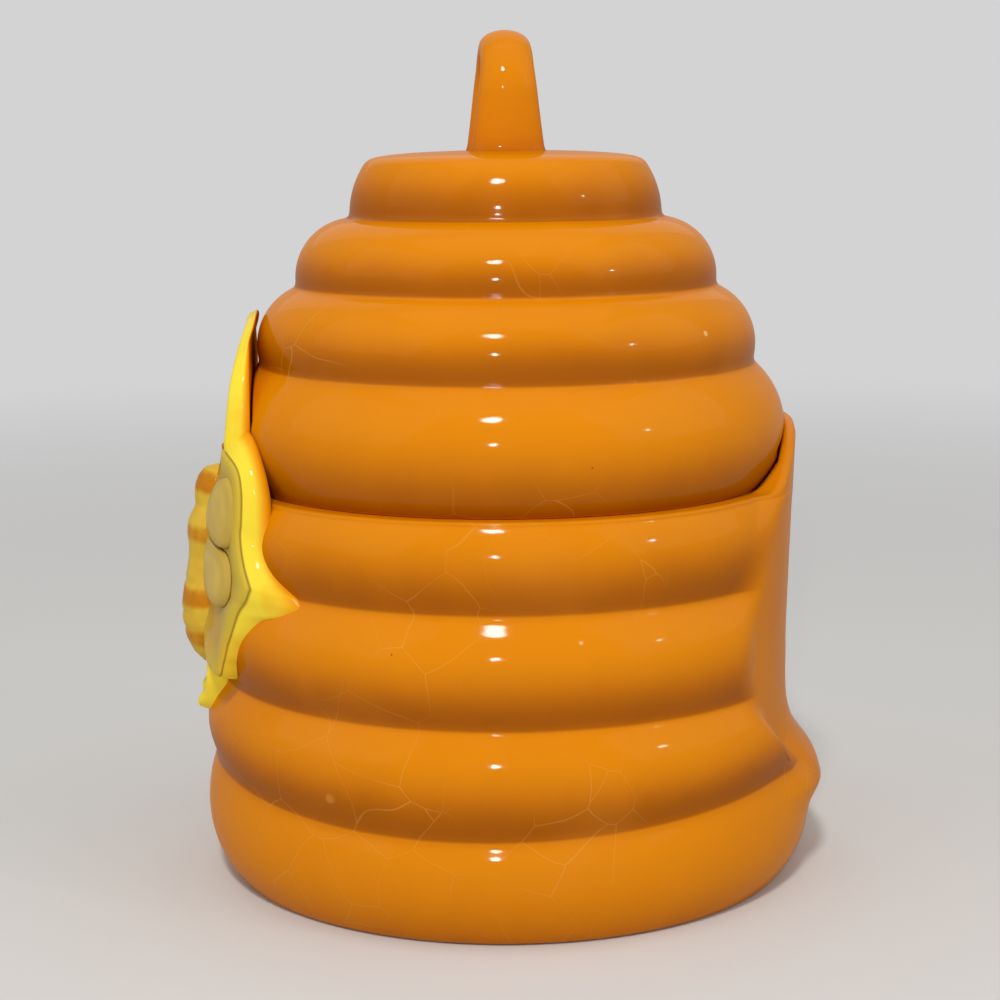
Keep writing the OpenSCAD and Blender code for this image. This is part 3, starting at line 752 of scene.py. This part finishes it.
def yellow_glaze():
    """Thick yellow glaze with orange sprayed towards the back edges, darker and duller on the petals' faces
    as painted shade, and with a thin brown line where it breaks over their edge."""
    glaze, tree = new_glaze("yellow_glaze_sprayed_orange")
    place = add(tree, "TexCoord", "Object")
    wall = add(tree, "Attribute", "Fac", {"attribute_name": "wall"})
    edge = add(tree, "Attribute", "Fac", {"attribute_name": "edge"})
    depth = add(tree, "Attribute", "Fac", {"attribute_name": "depth"})
    # Painted shade: the petals' faces take a darker, duller copy of the yellow than their side walls, darkest
    # furthest in from the edge.
    inward = add(tree, "MapRange", 0, SMOOTH, Value=depth, From_Min=0.05, From_Max=0.7)
    face = add(tree, "Mix", 2, BLEND, i0=inward, i6=linear("#D2B43A"), i7=linear("#BEA04A"))
    backward = add(tree, "MapRange", 0, SMOOTH, Value=wall, From_Min=0.42, From_Max=0.85)
    side = add(tree, "Mix", 2, BLEND, i0=backward, i6=linear("#F6DC3C"), i7=linear("#EE9C08"))
    around = add(tree, "MapRange", 0, SMOOTH, Value=wall, From_Min=0.01, From_Max=0.06)
    colour = add(tree, "Mix", 2, BLEND, i0=around, i6=face, i7=side)
    cloudy = add(tree, "TexNoise", Vector=place, Scale=1000 / 12.0, Detail=3.0)
    sprayed = add(tree, "MapRange", 0, SMOOTH, Value=cloudy, From_Min=0.5, From_Max=0.78, To_Max=0.45)
    colour = add(tree, "Mix", 2, BLEND, i0=sprayed, i6=colour, i7=linear("#EC9A10"))
    broken = add(tree, "MapRange", 0, SMOOTH, Value=edge, From_Min=0.5, From_Max=0.95, To_Max=0.6)
    colour = add(tree, "Mix", 2, BLEND, i0=broken, i6=colour, i7=linear("#6E4E14"))
    glass = add(tree, "MapRange", 0, SMOOTH, Value=wall, From_Min=0.8, From_Max=0.97, To_Min=0.3, To_Max=0.0)
    fire(tree, colour, 4.0, 0.14, glass)
    return glaze


def bee_glaze():
    """Yellow and brown underglaze brushed in bands on the bee, run a little into each other."""
    glaze, tree = new_glaze("banded_bee_glaze")
    place = add(tree, "TexCoord", "Object")
    band = add(tree, "Attribute", "Fac", {"attribute_name": "band"})
    runny = add(tree, "TexNoise", Vector=place, Scale=1000 / 3.5, Detail=3.0)
    yellow = add(tree, "Mix", 2, BLEND, i0=runny, i6=linear("#E0BE3E"), i7=linear("#CC9E2E"))
    brown = add(tree, "Mix", 2, BLEND, i0=runny, i6=linear("#CE860E"), i7=linear("#B26A08"))
    ragged = add(tree, "Math", 0, {"operation": "MULTIPLY_ADD"}, i0=runny, i1=0.8, i2=band)
    ragged = add(tree, "MapRange", 0, SMOOTH, Value=ragged, From_Min=0.65, From_Max=1.3)
    colour = add(tree, "Mix", 2, BLEND, i0=ragged, i6=yellow, i7=brown)
    fire(tree, colour, 3.5, 0.2)
    return glaze


def wing_glaze():
    """Pale cream glaze over the wings, breaking to a thin olive brown line around their edge."""
    glaze, tree = new_glaze("pale_wing_glaze")
    place = add(tree, "TexCoord", "Object")
    wall = add(tree, "Attribute", "Fac", {"attribute_name": "wall"})
    depth = add(tree, "Attribute", "Fac", {"attribute_name": "depth"})
    runny = add(tree, "TexNoise", Vector=place, Scale=1000 / 5.0, Detail=3.0)
    cream = add(tree, "Mix", 2, BLEND, i0=runny, i6=linear("#D9BC5C"), i7=linear("#C4A04A"))
    rim = add(tree, "MapRange", 0, SMOOTH, Value=depth, From_Min=0.02, From_Max=0.3, To_Min=0.4, To_Max=0.0)
    colour = add(tree, "Mix", 2, BLEND, i0=rim, i6=cream, i7=linear("#A98A34"))
    line = add(tree, "MapRange", 0, SMOOTH, Value=wall, From_Min=0.3, From_Max=0.7, To_Max=0.8)
    colour = add(tree, "Mix", 2, BLEND, i0=line, i6=colour, i7=linear("#6B4A1C"))
    fire(tree, colour, 5.0, 0.15)
    return glaze


def dress(pieces, glaze):
    for piece in pieces:
        piece.data.materials.clear()
        piece.data.materials.append(glaze)


# ------------------------------------------------------------------ the table, the light and the camera

def set_table():
    """A plain pale floor that fades into the backdrop's own tone far from the pot."""
    sides = 96
    around = np.linspace(0, 2 * math.pi, sides, endpoint=False)
    ring = np.stack([np.cos(around), np.sin(around), np.zeros(sides)], 1)
    points = np.concatenate([np.zeros((1, 3))] + [r * ring for r in (150, 700, 3000, 60000)]) * MM
    faces = [(0, 1 + i, 1 + (i + 1) % sides) for i in range(sides)]
    faces += [tuple(1 + v for v in f[::-1]) for f in thrown(4, sides)]
    mesh = bpy.data.meshes.new("floor")
    mesh.from_pydata(points.tolist(), [], faces)
    floor = bpy.data.objects.new("floor", mesh)
    bpy.context.scene.collection.objects.link(floor)
    matt, tree = new_glaze("matt_pale_floor")
    place = add(tree, "TexCoord", "Object")
    away = add(tree, "VectorMath", "Value", {"operation": "LENGTH"}, i0=place)
    away = add(tree, "MapRange", 0, SMOOTH, Value=away, From_Min=0.2, From_Max=0.9)
    rough = add(tree, "BsdfDiffuse", Color=linear("#D8D8D7"))
    glow = add(tree, "Emission", Color=linear(BACKDROP), Strength=1.0)
    both = add(tree, "MixShader", i0=away, i1=rough, i2=glow)
    add(tree, "OutputMaterial", Surface=both)
    mesh.materials.append(matt)


BACKDROP = "#D3D3D4"


def set_backdrop():
    """A pale backdrop behind everything, and a softer even light from all round."""
    world = bpy.data.worlds.new("pale_backdrop")
    bpy.context.scene.world = world
    world.use_nodes = True
    tree = world.node_tree
    tree.nodes.clear()
    seen = add(tree, "LightPath").node.outputs
    larger = {"operation": "MAXIMUM"}
    direct = add(tree, "Math", 0, larger, i0=seen["Is Camera Ray"], i1=seen["Is Transmission Ray"])
    direct = add(tree, "Math", 0, larger, i0=direct, i1=seen["Is Glossy Ray"])
    shown = add(tree, "Background", Color=linear(BACKDROP), Strength=1.0)
    light = add(tree, "Background", Color=linear("#F6F5F3"), Strength=0.25)
    both = add(tree, "MixShader", i0=direct, i1=light, i2=shown)
    add(tree, "OutputWorld", Surface=both)


def hang_lamp(name, azimuth, elevation, distance, wide, high, watts, colour="#FFFFFF", shape="RECTANGLE"):
    """A soft lamp aimed at the middle of the pot. Azimuth 0 is +X, 90 is +Y."""
    lamp = bpy.data.lights.new(name, "AREA")
    lamp.shape, lamp.size, lamp.size_y = shape, wide, high
    lamp.energy = watts
    lamp.color = linear(colour)[:3]
    held = bpy.data.objects.new(name, lamp)
    bpy.context.scene.collection.objects.link(held)
    a, e = math.radians(azimuth), math.radians(elevation)
    aim = Vector((0, 0, 0.075))
    back = Vector((math.cos(a) * math.cos(e), math.sin(a) * math.cos(e), math.sin(e)))
    held.location = aim + back * distance
    held.rotation_mode = "QUATERNION"
    held.rotation_quaternion = (-back).to_track_quat("-Z", "Y")


def set_lamps():
    hang_lamp("key", -11, 46, 1.3, 0.17, 0.15, 7.8, "#FFFCF8", "ELLIPSE")
    hang_lamp("front_bulb", -9, 15, 0.9, 0.045, 0.045, 1.2, "#FFFCF8", "ELLIPSE")
    hang_lamp("right_strip", 56, 22, 1.4, 0.06, 0.02, 0.8, "#FFFCF8")
    hang_lamp("overhead", 0, 80, 2.2, 2.4, 2.0, 8.0)
    hang_lamp("front_fill", -75, 32, 2.4, 2.6, 2.0, 8.5)
    hang_lamp("back_fill", 72, 34, 2.4, 2.6, 2.0, 10.5)
    hang_lamp("far_fill", 180, 38, 2.4, 2.6, 2.0, 7.5)


def set_camera():
    """The camera that was fitted to the photo: level with the lid's lower coils, 9.3 degrees down."""
    lens = bpy.data.cameras.new("photo_camera")
    lens.sensor_fit = "HORIZONTAL"
    lens.sensor_width = 36
    lens.lens = 79.2
    lens.shift_x = -0.0075
    lens.clip_start, lens.clip_end = 0.01, 200
    held = bpy.data.objects.new("photo_camera", lens)
    bpy.context.scene.collection.objects.link(held)
    turn, down, roll = math.radians(-4), math.radians(9.3), math.radians(-0.4)
    held.location = Vector((396 * math.cos(turn), 396 * math.sin(turn), 130.9)) * MM
    look = Vector((-math.cos(turn) * math.cos(down), -math.sin(turn) * math.cos(down), -math.sin(down)))
    held.rotation_mode = "QUATERNION"
    held.rotation_quaternion = look.to_track_quat("-Z", "Y") @ Matrix.Rotation(roll, 4, "Z").to_quaternion()
    bpy.context.scene.camera = held


bpy.context.scene.view_settings.view_transform = "Standard"
set_camera()
set_backdrop()
set_table()
set_lamps()

amber, yellow, banded, cream = amber_glaze(), yellow_glaze(), bee_glaze(), wing_glaze()
dress([make_pot(), make_lid(), make_loop(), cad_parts["lid_collar"]], amber)
dress(make_petals(), yellow)
bee = make_bee()
dress([p for p in bee if p.name.startswith("bee_")], banded)
dress([p for p in bee if "wing" in p.name], cream)
